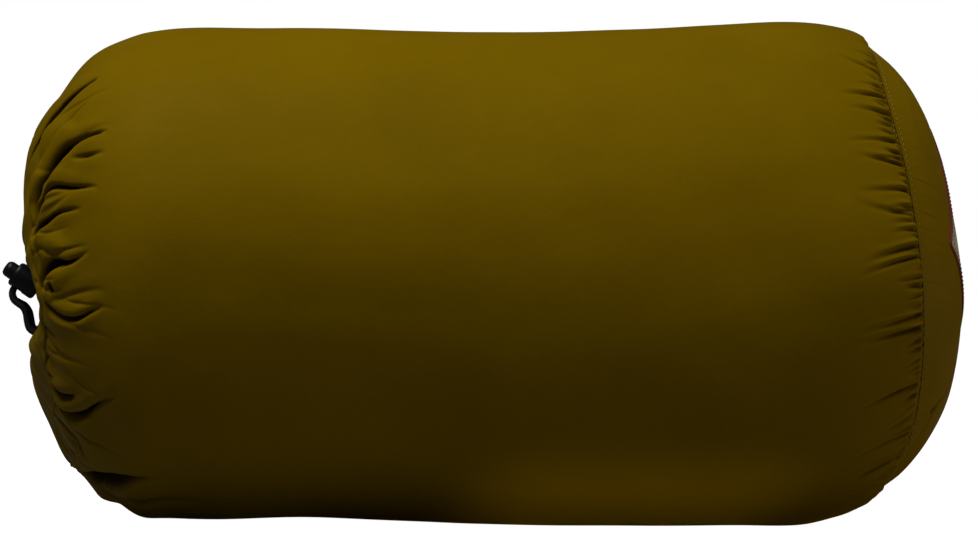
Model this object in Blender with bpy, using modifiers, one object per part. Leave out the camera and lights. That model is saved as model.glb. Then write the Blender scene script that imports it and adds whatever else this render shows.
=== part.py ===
"""Stuff sack, packed full and drawn shut with a drawcord and a cord lock.

The sack lies on its side. X runs along it, mouth towards -X and base towards +X, Z is up,
and the origin is under its middle on the floor. Everything is in metres.
"""

import math

import bmesh
import bpy
from mathutils import Vector

COLLECTION = "stuff_sack"
CUTTERS = "cutters"

# Driving dimensions
AXIS_Z = 0.1130
WALL = 0.0016
CLEAR = 0.0003
AROUND = 64

MOUTH_DROP = 0.0050
MOUTH_DROP_FROM_X = -0.145
MOUTH_X = -0.2025
MOUTH_Z = AXIS_Z - MOUTH_DROP
SEAM_X = 0.1717
SEAM_R = 0.1072
BASE_POLE_X = 0.2127

# Outer outline of the body panel, (x, radius), from the throat of the mouth to the base seam
BODY_OUTLINE = [
    (-0.1930, 0.0176),
    (-0.1985, 0.0176),
    (-0.2022, 0.0195),
    (-0.2070, 0.0248),
    (-0.2138, 0.0355),
    (-0.2125, 0.0480),
    (-0.2070, 0.0620),
    (-0.1975, 0.0820),
    (-0.1830, 0.0975),
    (-0.1640, 0.1068),
    (-0.1380, 0.1118),
    (-0.1000, 0.1140),
    (-0.0300, 0.1147),
    (0.0500, 0.1152),
    (0.1100, 0.1155),
    (0.1450, 0.1148),
    (0.1620, 0.1118),
    (SEAM_X, SEAM_R),
]

# Spans of the outline, from the throat, that make the gathered mouth end
MOUTH_END_SPANS = 8

# Outline of the packed contents, (x, radius), hollow at the mouth where the cord's tail lies
CONTENTS_OUTLINE = [
    (-0.1600, 0.0000),
    (-0.1605, 0.0270),
    (-0.1840, 0.0400),
    (-0.1950, 0.0520),
    (-0.1950, 0.0660),
    (-0.1880, 0.0800),
    (-0.1740, 0.0930),
    (-0.1560, 0.1020),
    (-0.1300, 0.1065),
    (-0.0900, 0.1085),
    (0.0000, 0.1092),
    (0.0900, 0.1098),
    (0.1400, 0.1092),
    (0.1600, 0.1010),
    (0.1760, 0.0900),
    (0.1930, 0.0600),
    (0.2030, 0.0300),
    (0.2060, 0.0000),
]

# Drawcord channel: the gathered hem round the mouth
CHANNEL_R = 0.0120
CHANNEL_HALF_THICK = 0.0035
CHANNEL_LENGTH = 0.0080
CHANNEL_X = MOUTH_X + CHANNEL_LENGTH / 2
TUNNEL_R = 0.0021
EXIT_HALF_WIDTH = 0.0046
EXIT_HALF_HEIGHT = 0.0022

# Drawcord
CORD_D = 0.0030
CORD_PAIR_HALF = 0.0017
CORD_STEP = 0.0037
COIL_X = -0.1720
COIL_R = 0.0170
COIL_THICK_R = 0.0043

# Cord lock. Its axis leans up from -X, and s runs along it from the closed end of the barrel
LOCK_TILT = math.radians(35)
LOCK_AXIS = Vector((-math.cos(LOCK_TILT), 0, math.sin(LOCK_TILT)))
CORD_AXIS = Vector((-math.sin(LOCK_TILT), 0, -math.cos(LOCK_TILT)))
LOCK_CORD_POINT = Vector((-0.2168, 0, 0.1148))
LOCK_CORD_S = 0.0093
BARREL_LENGTH = 0.0130
BARREL_HALF = (0.0058, 0.0072)
BARREL_FLOOR = 0.0012
BUTTON_HALF = (0.0037, 0.0053)
BUTTON_CLEAR = 0.00035
BUTTON_START_S = 0.0058
BUTTON_END_S = 0.0180
HOLE_HALF_WIDTH = 0.00345
HOLE_HEIGHT = 0.0056
BARREL_HOLE_S = 0.0054
BUTTON_HOLE_S = 0.0076

# Base label: its size, its middle and how far it is turned in the base's plane
LABEL_SIZE = (0.080, 0.056)
LABEL_Y = -0.0421
LABEL_Z = AXIS_Z + 0.0230
LABEL_TURN = math.radians(42)
LABEL_THICK = 0.0008

# Side seam: at the back, below the middle
SIDE_SEAM_ANGLE = math.radians(-35)
SIDE_SEAM_HALF = 0.0050
SIDE_SEAM_THICK = 0.0010


def start_scene():
    """An empty scene with one collection for the parts and one for the cutters."""
    for old in list(bpy.data.objects):
        bpy.data.objects.remove(old, do_unlink=True)
    for name in (COLLECTION, CUTTERS):
        if name not in bpy.data.collections:
            bpy.context.scene.collection.children.link(bpy.data.collections.new(name))


def material(name, colour, roughness, metallic=0.0):
    """A plain Principled material."""
    mat = bpy.data.materials.new(name)
    mat.use_nodes = True
    shader = mat.node_tree.nodes["Principled BSDF"]
    shader.inputs["Base Color"].default_value = (*colour, 1.0)
    shader.inputs["Roughness"].default_value = roughness
    shader.inputs["Metallic"].default_value = metallic
    return mat


def add_object(name, data, mat=None, collection=COLLECTION):
    obj = bpy.data.objects.new(name, data)
    bpy.data.collections[collection].objects.link(obj)
    if mat is not None:
        obj.data.materials.append(mat)
    return obj


def mesh_object(name, verts, faces, mat=None, collection=COLLECTION):
    """A closed mesh object with its faces turned outwards."""
    bm = bmesh.new()
    bm_verts = [bm.verts.new(v) for v in verts]
    for face in faces:
        bm.faces.new([bm_verts[i] for i in face])
    bmesh.ops.recalc_face_normals(bm, faces=bm.faces)
    mesh = bpy.data.meshes.new(name)
    bm.to_mesh(mesh)
    bm.free()
    return add_object(name, mesh, mat, collection)


def smoothstep(t):
    t = min(max(t, 0.0), 1.0)
    return t * t * (3 - 2 * t)


def axis_height(x):
    """Height of the sack's axis, which drops a little towards the mouth."""
    return AXIS_Z - MOUTH_DROP * smoothstep((MOUTH_DROP_FROM_X - x) / (MOUTH_DROP_FROM_X - MOUTH_X))


def spline(points, t):
    """Catmull-Rom value at t, counted in control points."""
    i = min(int(t), len(points) - 2)
    u = t - i
    p1, p2 = Vector(points[i]), Vector(points[i + 1])
    p0 = Vector(points[i - 1]) if i > 0 else p1 * 2 - p2
    p3 = Vector(points[i + 2]) if i + 2 < len(points) else p2 * 2 - p1
    a = (p1 - p2) * 3 + p3 - p0
    b = p0 * 2 - p1 * 5 + p2 * 4 - p3
    return p1 + (p2 - p0) * (u / 2) + b * (u * u / 2) + a * (u * u * u / 2)


def even_path(points, step):
    """Points about step apart along the smooth curve through the control points."""
    dense = [spline(points, k / 24) for k in range(24 * (len(points) - 1) + 1)]
    lengths = [0.0]
    for a, b in zip(dense, dense[1:]):
        lengths.append(lengths[-1] + (b - a).length)
    count = max(2, round(lengths[-1] / step))
    path = []
    j = 0
    for k in range(count + 1):
        want = lengths[-1] * k / count
        while j < len(lengths) - 2 and lengths[j + 1] < want:
            j += 1
        span = max(lengths[j + 1] - lengths[j], 1e-9)
        path.append(dense[j].lerp(dense[j + 1], (want - lengths[j]) / span))
    return path


def inset(outline, distance):
    """The outline moved inwards, towards the sack's axis and its inside."""
    moved = []
    for i, (x, r) in enumerate(outline):
        before = outline[max(i - 1, 0)]
        after = outline[min(i + 1, len(outline) - 1)]
        run = Vector((after[0] - before[0], after[1] - before[1])).normalized()
        moved.append((x + run.y * distance, r - run.x * distance))
    return moved


def turned(name, loop, mat=None, around=AROUND, collection=COLLECTION, straight=False):
    """Turns a closed loop of (x, radius, floor) about the sack's axis.

    No point goes below its floor height. Points of zero radius become poles.
    """
    verts = []
    rows = []
    for x, r, floor in loop:
        z0 = MOUTH_Z if straight else axis_height(x)
        if r < 1e-7:
            rows.append([len(verts)] * around)
            verts.append((x, 0.0, z0))
            continue
        rows.append(list(range(len(verts), len(verts) + around)))
        for k in range(around):
            angle = 2 * math.pi * k / around
            verts.append((x, r * math.cos(angle), max(z0 + r * math.sin(angle), floor)))
    faces = []
    poles = [row[0] == row[1] for row in rows]
    for i in range(len(rows)):
        j = (i + 1) % len(rows)
        if poles[i] and poles[j]:
            continue
        for k in range(around):
            m = (k + 1) % around
            corners = [rows[i][k], rows[i][m], rows[j][m], rows[j][k]]
            faces.append(list(dict.fromkeys(corners)))
    return mesh_object(name, verts, faces, mat, collection)


def torus(name, x, ring_r, tube_r, mat=None, around=48, sides=10, collection=COLLECTION):
    """A ring about the mouth's axis, closed."""
    loop = []
    for k in range(sides):
        angle = 2 * math.pi * k / sides
        loop.append((x + tube_r * math.cos(angle), ring_r + tube_r * math.sin(angle), -1.0))
    return turned(name, loop, mat, around, collection, straight=True)


def tube(name, points, radius, mat=None, resolution=2, cyclic=False):
    """A cord or thread as a mesh tube along the points."""
    curve = bpy.data.curves.new(name, "CURVE")
    curve.dimensions = "3D"
    curve.bevel_depth = radius
    curve.bevel_resolution = resolution
    curve.render_resolution_u = 0
    curve.use_fill_caps = not cyclic
    line = curve.splines.new("POLY")
    line.points.add(len(points) - 1)
    for point, place in zip(line.points, points):
        point.co = (*place, 1.0)
    line.use_cyclic_u = cyclic
    source = add_object(name + "_path", curve)
    mesh = bpy.data.meshes.new_from_object(source)
    bpy.data.objects.remove(source, do_unlink=True)
    bm = bmesh.new()
    bm.from_mesh(mesh)
    bmesh.ops.remove_doubles(bm, verts=bm.verts, dist=1e-6)
    bmesh.ops.recalc_face_normals(bm, faces=bm.faces)
    bm.to_mesh(mesh)
    bm.free()
    mesh.name = name
    mesh.materials.clear()
    return add_object(name, mesh, mat)


def cut(obj, cutter):
    """Takes the cutter's volume out of the object and keeps the cutter as a wire."""
    cutter.hide_render = True
    cutter.display_type = "WIRE"
    boolean = obj.modifiers.new("cut_" + cutter.name, "BOOLEAN")
    boolean.operation = "DIFFERENCE"
    boolean.solver = "EXACT"
    boolean.object = cutter


# The sack's fabric


def dome_x(r, offset=0.0):
    """X of the base panel's outer face at a distance r from the axis, moved out by offset."""
    rise = BASE_POLE_X - (SEAM_X + 2 * CLEAR)
    rim = SEAM_R - 0.0004
    ball = (rim * rim + rise * rise) / (2 * rise)
    return BASE_POLE_X - ball + math.sqrt((ball + offset) ** 2 - r * r)


def started_later(line, distance):
    """The line with its first point moved on along it."""
    first, second = Vector(line[0]), Vector(line[1])
    return [tuple(first + (second - first).normalized() * distance)] + line[1:]


def make_body_panel(fabric):
    """The body's cloth, in two simple shells: its gathered mouth end and the tube behind it."""
    outer = [tuple(spline(BODY_OUTLINE, t / 2)) for t in range(2 * len(BODY_OUTLINE) - 1)]
    inner = inset(outer, WALL)
    split = 2 * MOUTH_END_SPANS
    mouth_end = (outer[:split + 1], inner[:split + 1])
    tube_part = (started_later(outer[split:], CLEAR), started_later(inner[split:], CLEAR))
    for name, (outside, inside) in (("body_mouth_end", mouth_end), ("body_panel", tube_part)):
        loop = [(x, r, 0.0) for x, r in outside]
        loop += [(x, r, WALL) for x, r in reversed(inside)]
        turned(name, loop, fabric)


def make_base_panel(fabric):
    rim = SEAM_R - 0.0004
    steps = 8
    radii = [rim * (1 - k / steps) for k in range(steps + 1)]
    loop = [(dome_x(r), r, 0.0) for r in radii]
    loop += [(dome_x(r * 0.985, -WALL), r * 0.985, 0.0) for r in reversed(radii)]
    return turned("base_panel", loop, fabric)


def make_packed_contents(filling):
    loop = [(x, r, 2 * WALL + CLEAR) for x, r in CONTENTS_OUTLINE]
    return turned("packed_contents", loop, filling, around=40)


def make_base_seam(binding, thread):
    outer_r = SEAM_R - WALL - 0.0016
    start_x = SEAM_X - 0.0085
    end_x = SEAM_X - 0.0006
    loop = [
        (start_x, outer_r, -1.0),
        (end_x, outer_r - 0.0006, -1.0),
        (end_x, outer_r - 0.0020, -1.0),
        (start_x, outer_r - 0.0014, -1.0),
    ]
    turned("base_seam_binding", loop, binding)

    stitches = 80
    points = []
    for k in range(stitches * 3):
        angle = 2 * math.pi * k / (stitches * 3)
        r = SEAM_R + 0.0011 + 0.0003 * math.sin(angle * stitches)
        points.append((SEAM_X + 0.0004, r * math.cos(angle), AXIS_Z + r * math.sin(angle)))
    tube("base_seam_stitching", points, 0.0004, thread, resolution=0, cyclic=True)


def side_seam_point(x, r, across=0.0, out=0.0):
    """A point on the body at the side seam, moved across the seam and out of the surface."""
    outward = Vector((0, math.cos(SIDE_SEAM_ANGLE), math.sin(SIDE_SEAM_ANGLE)))
    sideways = Vector((0, -math.sin(SIDE_SEAM_ANGLE), math.cos(SIDE_SEAM_ANGLE)))
    depth = r - math.sqrt(r * r - across * across)
    return Vector((x, 0, axis_height(x))) + outward * (r - depth + out) + sideways * across


def make_side_seam(fabric, thread):
    """The lapped seam that closes the body panel into a tube, with one row of thread on it."""
    outline = [p for p in BODY_OUTLINE if p[1] > 0.09 and p[0] < SEAM_X]
    low, high = CLEAR + 0.0004, CLEAR + 0.0004 + SIDE_SEAM_THICK
    stations = [tuple(spline(outline, t / 2)) for t in range(2 * len(outline) - 1)]
    corners = [
        (-SIDE_SEAM_HALF, low),
        (-SIDE_SEAM_HALF, high),
        (0.0, high),
        (SIDE_SEAM_HALF, high),
        (SIDE_SEAM_HALF, low),
        (0.0, low),
    ]
    verts = [side_seam_point(x, r, a, o) for x, r in stations for a, o in corners]
    count = len(corners)
    faces = [list(range(count)), list(range(len(verts) - count, len(verts)))]
    for i in range(len(stations) - 1):
        for k in range(count):
            m = (k + 1) % count
            faces.append([i * count + k, i * count + m, (i + 1) * count + m, (i + 1) * count + k])
    mesh_object("side_seam_strip", verts, faces, fabric)

    stitch = 0.0045
    line = even_path([side_seam_point(x, r, 0.0, high + 0.0008) for x, r in stations], stitch / 2)
    out = Vector((0, math.cos(SIDE_SEAM_ANGLE), math.sin(SIDE_SEAM_ANGLE))) * 0.0002
    points = [p + out * (1 if k % 2 else -1) for k, p in enumerate(line)]
    tube("side_seam_stitching", points[2:-2], 0.0003, thread, resolution=0)


# The mouth: channel, drawcord and what is on it


def oval_prism(name, centre, along, across, half_along, half_across, length, mat=None,
               collection=COLLECTION, sides=24, dome=0.0):
    """A straight prism of stadium section, from centre along "along", with an optional domed end."""
    up = along.cross(across).normalized()
    flat = max(half_across - half_along, 0.0)
    round_r = min(half_along, half_across)
    ring = []
    for k in range(sides):
        angle = 2 * math.pi * (k + 0.5) / sides
        side = flat if math.cos(angle) > 0 else -flat
        ring.append((side + round_r * math.cos(angle), round_r * math.sin(angle)))
    levels = [(0.0, 1.0), (length - dome, 1.0)]
    if dome:
        levels += [(length - dome * 0.55, 0.93), (length - dome * 0.15, 0.74), (length, 0.45)]
    verts = []
    for distance, shrink in levels:
        for a, b in ring:
            verts.append(centre + along * distance + across * a * shrink + up * b * shrink)
    faces = [list(range(sides)), list(range(len(verts) - sides, len(verts)))]
    for i in range(len(levels) - 1):
        for k in range(sides):
            m = (k + 1) % sides
            faces.append([i * sides + k, i * sides + m, (i + 1) * sides + m, (i + 1) * sides + k])
    return mesh_object(name, verts, faces, mat, collection)


def box_cutter(name, centre, axes, halves):
    """A box with its half sizes along three axes."""
    verts = []
    for a in (-1, 1):
        for b in (-1, 1):
            for c in (-1, 1):
                verts.append(centre + axes[0] * a * halves[0] + axes[1] * b * halves[1]
                             + axes[2] * c * halves[2])
    faces = [(0, 1, 3, 2), (4, 6, 7, 5), (0, 4, 5, 1), (2, 3, 7, 6), (0, 2, 6, 4), (1, 5, 7, 3)]
    return mesh_object(name, verts, faces, collection=CUTTERS)


def make_drawcord_channel(fabric):
    """The hem: a thick ring with a round tunnel in it and one way out at the top of its front."""
    low, high = CHANNEL_R - CHANNEL_HALF_THICK, CHANNEL_R + CHANNEL_HALF_THICK
    front, back = MOUTH_X, MOUTH_X + CHANNEL_LENGTH
    soft = 0.0012
    loop = [
        (front + soft, low, -1.0),
        (front, low + soft, -1.0),
        (front, high - soft, -1.0),
        (front + soft, high, -1.0),
        (back - soft, high, -1.0),
        (back, high - soft, -1.0),
        (back, low + soft, -1.0),
        (back - soft, low, -1.0),
    ]
    channel = turned("drawcord_channel", loop, fabric, around=48, straight=True)
    cut(channel, torus("channel_tunnel", CHANNEL_X, CHANNEL_R, TUNNEL_R, around=48, sides=12,
                       collection=CUTTERS))
    way_out = oval_prism(
        "channel_way_out", Vector((CHANNEL_X, 0, MOUTH_Z + CHANNEL_R)), Vector((-1, 0, 0)),
        Vector((0, 1, 0)), EXIT_HALF_HEIGHT, EXIT_HALF_WIDTH, 0.010, collection=CUTTERS)
    cut(channel, way_out)


def make_exit_buttonhole(thread):
    """The sewn edge round the hole that both strands leave through."""
    centre = Vector((MOUTH_X - 0.0008, 0, MOUTH_Z + CHANNEL_R))
    flat = EXIT_HALF_WIDTH - EXIT_HALF_HEIGHT
    r = EXIT_HALF_HEIGHT + 0.0006
    points = []
    for k in range(28):
        angle = 2 * math.pi * (k + 0.5) / 28
        side = flat if math.cos(angle) > 0 else -flat
        points.append(centre + Vector((0, side + r * math.cos(angle), r * math.sin(angle))))
    tube("exit_buttonhole", points, 0.0005, thread, resolution=0, cyclic=True)


def make_channel_stitching(thread):
    """The row of thread that closes the hem, on the back of the channel."""
    points = []
    stitches = 24
    for k in range(stitches * 3):
        angle = 2 * math.pi * k / (stitches * 3)
        r = CHANNEL_R + 0.0012
        x = MOUTH_X + CHANNEL_LENGTH + 0.0009 + 0.0003 * math.sin(angle * stitches)
        points.append((x, r * math.cos(angle), MOUTH_Z + r * math.sin(angle)))
    tube("channel_stitching", points, 0.0003, thread, resolution=0, cyclic=True)


def lock_point(s, across=0.0, side=0.0):
    """A point of the cord lock: s along it, across along the cord, side along Y."""
    start = LOCK_CORD_POINT - LOCK_AXIS * LOCK_CORD_S
    return start + LOCK_AXIS * s + CORD_AXIS * across + Vector((0, side, 0))


# The doubled cord from the hem, through the lock, to the tail in the mouth: the middle of the
# pair, (x, z), in the plane through the sack's axis
CORD_PAIR_ROUTE = [
    (-0.2002, 0.1200),
    (-0.2028, 0.1203),
    (-0.2056, 0.1213),
    (-0.2084, 0.1221),
    (-0.2112, 0.1217),
    (-0.2135, 0.1196),
    (-0.2168, 0.1148),
    (-0.2201, 0.1100),
    (-0.2209, 0.1074),
    (-0.2201, 0.1048),
    (-0.2181, 0.1032),
    (-0.2157, 0.1016),
    (-0.2141, 0.0988),
    (-0.2134, 0.0950),
    (-0.2126, 0.0920),
    (-0.2103, 0.0902),
    (-0.2076, 0.0902),
    (-0.2054, 0.0920),
    (-0.2046, 0.0950),
    (-0.2042, 0.0984),
    (-0.2022, 0.1018),
    (-0.1990, 0.1052),
    (-0.1950, 0.1092),
    (-0.1905, 0.1137),
    (-0.1860, 0.1181),
    (-0.1820, 0.1214),
]


def cord_strand(side):
    """One strand of the pair, from the hem to its tail."""
    return [Vector((x, CORD_PAIR_HALF * side, z)) for x, z in CORD_PAIR_ROUTE]


def make_drawcord(braid):
    """One cord: up one strand, round inside the channel and back down the other strand."""
    ring = []
    steps = 12
    first = math.radians(27)
    for k in range(steps + 1):
        angle = first + (2 * math.pi - 2 * first) * k / steps
        ring.append(Vector((CHANNEL_X, -CHANNEL_R * math.sin(angle),
                            MOUTH_Z + CHANNEL_R * math.cos(angle))))
    route = list(reversed(cord_strand(-1))) + ring + cord_strand(1)
    tube("drawcord", even_path(route, CORD_STEP), CORD_D / 2, braid, resolution=1)


def make_tail(braid):
    """The tail, coiled inside the mouth, and the knot that joins its two ends."""
    torus("drawcord_tail_coil", COIL_X, COIL_R, COIL_THICK_R, braid, around=40, sides=10)
    loop = []
    for k in range(9):
        angle = math.pi * k / 8
        loop.append((COIL_X - 0.0050 * math.cos(angle), 0.0042 * math.sin(angle), -1.0))
    turned("drawcord_end_knot", loop, braid, around=20, straight=True)


def make_cord_lock(plastic, steel):
    side_axis = Vector((0, 1, 0))
    barrel = oval_prism("lock_barrel", lock_point(0), LOCK_AXIS, side_axis, BARREL_HALF[0],
                        BARREL_HALF[1], BARREL_LENGTH, plastic, sides=32)
    edge = barrel.modifiers.new("edge", "BEVEL")
    edge.width = 0.0012
    edge.segments = 2
    edge.limit_method = "ANGLE"
    edge.angle_limit = math.radians(50)
    bore = oval_prism("barrel_bore", lock_point(BARREL_FLOOR), LOCK_AXIS, side_axis,
                      BUTTON_HALF[0] + BUTTON_CLEAR, BUTTON_HALF[1] + BUTTON_CLEAR,
                      BARREL_LENGTH, collection=CUTTERS, sides=32)
    cut(barrel, bore)
    axes = (LOCK_AXIS, CORD_AXIS, side_axis)
    halves = (HOLE_HEIGHT / 2, 0.012, HOLE_HALF_WIDTH)
    cut(barrel, box_cutter("barrel_cord_hole", lock_point(BARREL_HOLE_S + HOLE_HEIGHT / 2), axes,
                           halves))

    button = oval_prism("lock_button", lock_point(BUTTON_START_S), LOCK_AXIS, side_axis,
                        BUTTON_HALF[0], BUTTON_HALF[1], BUTTON_END_S - BUTTON_START_S, plastic,
                        sides=32, dome=0.0022)
    cut(button, box_cutter("button_cord_hole", lock_point(BUTTON_HOLE_S + HOLE_HEIGHT / 2), axes,
                           halves))

    turns = 3.5
    wire = 0.0003
    start, end = BARREL_FLOOR + wire + 0.0001, BUTTON_START_S - wire - 0.0001
    points = []
    steps = int(turns * 12)
    for k in range(steps + 1):
        angle = 2 * math.pi * turns * k / steps
        s = start + (end - start) * k / steps
        points.append(lock_point(s, 0.0024 * math.cos(angle), 0.0024 * math.sin(angle)))
    tube("lock_spring", points, wire, steel, resolution=0)


# The base label


def label_patch(name, half_y, half_z, low, high, mat, hole=0.0):
    """A thin patch that follows the base, or a rectangular frame of one when hole is given."""
    def place(u, v, out):
        y = LABEL_Y + u * math.cos(LABEL_TURN) - v * math.sin(LABEL_TURN)
        z = LABEL_Z + u * math.sin(LABEL_TURN) + v * math.cos(LABEL_TURN)
        r = math.hypot(y, z - AXIS_Z)
        return (dome_x(r, out), y, z)

    if not hole:
        nu, nv = 16, 10
        grid = [(-half_y + 2 * half_y * i / nu, -half_z + 2 * half_z * j / nv)
                for i in range(nu + 1) for j in range(nv + 1)]
        verts = [place(u, v, low) for u, v in grid] + [place(u, v, high) for u, v in grid]
        n = len(grid)
        row = nv + 1
        faces = []
        for i in range(nu):
            for j in range(nv):
                a = i * row + j
                quad = [a, a + 1, a + row + 1, a + row]
                faces.append(quad)
                faces.append([n + q for q in quad])
        rim = [j for j in range(row)] + [i * row + nv for i in range(1, nu + 1)]
        rim += [nu * row + j for j in range(nv - 1, -1, -1)] + [i * row for i in range(nu - 1, 0, -1)]
        for a, b in zip(rim, rim[1:] + rim[:1]):
            faces.append([a, b, n + b, n + a])
        return mesh_object(name, verts, faces, mat)

    points = []
    corners = [(-1, -1), (1, -1), (1, 1), (-1, 1)]
    for (ay, az), (by, bz) in zip(corners, corners[1:] + corners[:1]):
        steps = 20 if ay != by else 14
        for k in range(steps):
            t = k / steps
            u = (ay + (by - ay) * t) * (half_y - hole)
            v = (az + (bz - az) * t) * (half_z - hole)
            lift = 0.00015 if k % 2 else 0.0
            points.append(place(u, v, high + lift))
    return tube(name, points, 0.0003, mat, resolution=0, cyclic=True)


def make_base_label(woven, thread):
    half_y, half_z = LABEL_SIZE[0] / 2, LABEL_SIZE[1] / 2
    low = CLEAR
    high = CLEAR + LABEL_THICK
    label_patch("base_label", half_y, half_z, low, high, woven)
    label_patch("base_label_stitching", half_y, half_z, low, high + 0.0007, thread, hole=0.0015)


def main():
    start_scene()
    fabric = material("nylon_mustard", (0.130, 0.085, 0.0012), 0.55)
    seam_fabric = material("nylon_seam", (0.120, 0.078, 0.0012), 0.55)
    hem_fabric = material("nylon_hem", (0.125, 0.082, 0.0012), 0.55)
    base_fabric = material("nylon_base", (0.130, 0.085, 0.0012), 0.55)
    filling = material("packed_contents", (0.05, 0.05, 0.055), 0.9)
    binding = material("seam_binding", (0.02, 0.02, 0.02), 0.8)
    thread = material("thread", (0.11, 0.072, 0.002), 0.7)
    braid = material("cord_braid", (0.012, 0.012, 0.012), 0.75)
    plastic = material("lock_plastic", (0.012, 0.012, 0.013), 0.45)
    steel = material("spring_steel", (0.55, 0.55, 0.57), 0.3, 1.0)
    woven = material("label_weave", (0.42, 0.42, 0.40), 0.8)

    make_body_panel(fabric)
    make_base_panel(base_fabric)
    make_packed_contents(filling)
    make_base_seam(binding, thread)
    make_side_seam(seam_fabric, thread)
    make_drawcord_channel(hem_fabric)
    make_exit_buttonhole(thread)
    make_channel_stitching(thread)
    make_drawcord(braid)
    make_tail(braid)
    make_cord_lock(plastic, steel)
    make_base_label(woven, thread)


main()
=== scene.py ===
"""Looks of the stuff sack: folded nylon, braided drawcord, cord lock, seams, stitches and label.

X runs along the sack, mouth towards -X, base towards +X. The camera looks along +Y. An angle round
the sack, phi, is 0 towards the camera, 90 degrees at the top and 180 at the back. Metres.
"""

import math
import random

import bpy
import numpy as np
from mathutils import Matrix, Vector, noise

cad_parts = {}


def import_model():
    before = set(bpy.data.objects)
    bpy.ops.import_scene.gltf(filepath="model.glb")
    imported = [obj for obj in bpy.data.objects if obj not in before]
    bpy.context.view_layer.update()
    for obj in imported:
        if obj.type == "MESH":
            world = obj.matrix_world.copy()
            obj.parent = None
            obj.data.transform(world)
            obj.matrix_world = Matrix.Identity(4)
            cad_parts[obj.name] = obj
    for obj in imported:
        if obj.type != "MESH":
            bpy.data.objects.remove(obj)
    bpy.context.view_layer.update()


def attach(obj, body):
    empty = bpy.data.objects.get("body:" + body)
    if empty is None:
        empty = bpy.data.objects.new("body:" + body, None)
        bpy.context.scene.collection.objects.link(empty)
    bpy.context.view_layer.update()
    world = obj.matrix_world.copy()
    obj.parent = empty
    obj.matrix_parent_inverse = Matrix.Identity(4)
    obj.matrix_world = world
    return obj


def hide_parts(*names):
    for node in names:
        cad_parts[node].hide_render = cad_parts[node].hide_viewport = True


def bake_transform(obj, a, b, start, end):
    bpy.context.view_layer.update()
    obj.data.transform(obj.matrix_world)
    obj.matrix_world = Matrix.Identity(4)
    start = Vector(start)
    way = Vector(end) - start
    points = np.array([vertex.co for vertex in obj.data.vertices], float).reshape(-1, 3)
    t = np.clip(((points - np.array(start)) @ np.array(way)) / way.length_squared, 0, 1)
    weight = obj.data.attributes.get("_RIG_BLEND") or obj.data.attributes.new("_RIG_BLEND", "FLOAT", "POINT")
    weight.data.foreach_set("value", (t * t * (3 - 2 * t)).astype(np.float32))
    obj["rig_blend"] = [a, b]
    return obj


SEED = 7
COLUMNS = 1536

# Places shared with the CAD model
AXIS_Z = 0.113
MOUTH_DROP = 0.005
MOUTH_DROP_FROM_X = -0.145
MOUTH_X = -0.2025
MOUTH_Z = AXIS_Z - MOUTH_DROP
SEAM_X = 0.1717
SEAM_R = 0.1072

# Outline of the body's cloth, (x, radius), from the stitch line of the hem to the base seam
BODY_OUTLINE = [
    (-0.199, 0.015), (-0.2005, 0.0172), (-0.203, 0.0195), (-0.2076, 0.0245),
    (-0.2138, 0.0355), (-0.2132, 0.048), (-0.2085, 0.062), (-0.199, 0.08),
    (-0.185, 0.0955), (-0.165, 0.1062), (-0.138, 0.1112), (-0.1, 0.113),
    (-0.03, 0.1135), (0.05, 0.1142), (0.11, 0.115), (0.142, 0.115),
    (0.16, 0.1128), (0.169, 0.1092), (SEAM_X, SEAM_R - 0.0022),
]

# Outline of the hem, from the stitch line over its crest and down into the mouth
HEM_OUTLINE = [
    (-0.199, 0.015), (-0.2012, 0.0148), (-0.2034, 0.0134), (-0.2041, 0.0115),
    (-0.2034, 0.0094), (-0.2012, 0.0082), (-0.1965, 0.0078), (-0.192, 0.008),
]

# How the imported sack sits: (x, lift of its axis) and (x, growth of its radius)
LIFT = [(-0.205, 0.0042), (-0.185, 0.0066), (-0.165, 0.0034), (-0.13, 0.0036), (-0.09, 0.004),
        (-0.04, 0.002), (0.0, 0.0005), (0.06, 0.001), (0.12, 0.0016), (0.175, 0.0)]
GROWTH = [(-0.205, 0.0043), (-0.185, 0.0033), (-0.165, 0.0028), (-0.145, 0.0008),
          (-0.09, -0.0013), (0.0, 0.0), (0.06, 0.001), (0.12, 0.0015), (0.16, -0.001),
          (0.175, 0.0)]

# The base seam: its centre is above the axis, and it wanders along the sack, (angle, shift)
SEAM_CENTRE_Z = 0.1172
SEAM_RING_R = 0.1066
SEAM_SHIFT = [(-90, -0.014), (-62, -0.0035), (-38, 0.002), (-10, 0.0005), (20, -0.0045),
              (45, -0.0075), (68, -0.005), (90, -0.001), (112, -0.004), (140, -0.006),
              (165, -0.003), (190, 0.0), (220, 0.0015), (245, -0.004)]
SEAM_FROM_X = 0.1
SEAM_PITCH = 0.0029
BASE_RISE = 0.0322
BASE_FULLNESS = 4.4
BASE_TOP_FULLER = 0.8
SEAM_SAG = 0.0036
BASE_SAG = 0.011

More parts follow.
